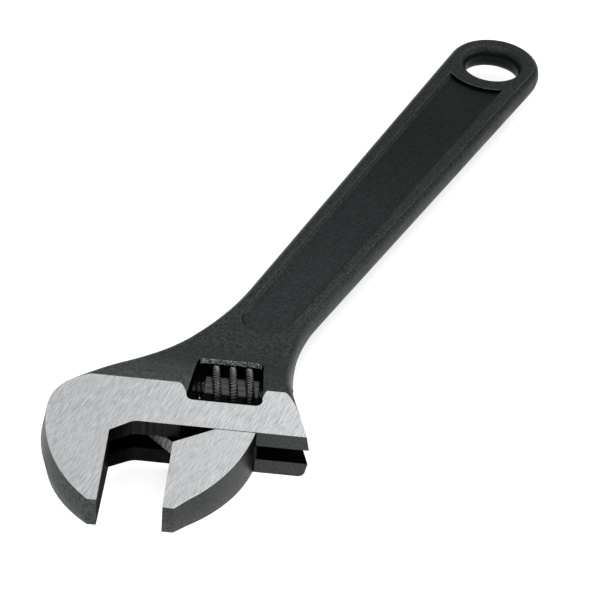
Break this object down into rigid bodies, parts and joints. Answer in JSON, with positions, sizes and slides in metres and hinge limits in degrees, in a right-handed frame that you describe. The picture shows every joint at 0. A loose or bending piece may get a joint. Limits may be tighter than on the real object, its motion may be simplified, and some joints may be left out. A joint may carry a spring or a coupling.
{
  "type": "adjustable wrench",
  "caption": "Adjustable wrench with a fixed jaw forged with its handle and a second jaw moved along a slide by a knurled worm.",
  "frame": {"origin": "where the gripping face of the fixed jaw meets the line of the slide, half way through the thickness", "axes": "+X the way the sliding jaw opens, +Y from the jaws towards the handle, +Z square to the flat of the wrench"},
  "size_m": [0.132, 0.2328, 0.0168],
  "materials": {
    "forged_black": "black phosphate on forged steel, with the faces of the head ground bright",
    "ground_steel": "ground faces, darker milled edges",
    "black_steel": "black phosphate, knurled",
    "pin_steel": "turned, oiled",
    "spring_steel": "drawn wire"
  },
  "bodies": {
    "frame": {"handle_frame": "forged_black", "worm_pin": "pin_steel", "worm_spring": "spring_steel"},
    "jaw": {"sliding_jaw": "ground_steel"},
    "worm": {"adjusting_worm": "black_steel"}
  },
  "joints": [
    {"name": "jaw_slide", "type": "slide", "parent": "frame", "child": "jaw", "axis": [1, 0, 0], "range_m": [-0.01645, 0.0133]},
    {"name": "worm_spin", "type": "hinge", "parent": "frame", "child": "worm", "pos_m": [0.02937, 0.02173, 0], "axis": [1, 0, 0], "range_deg": [-1100, 1360]}
  ],
  "couplings": [
    {"joint": "worm_spin", "follows": "jaw_slide", "rad_per_m": -1428}
  ]
}
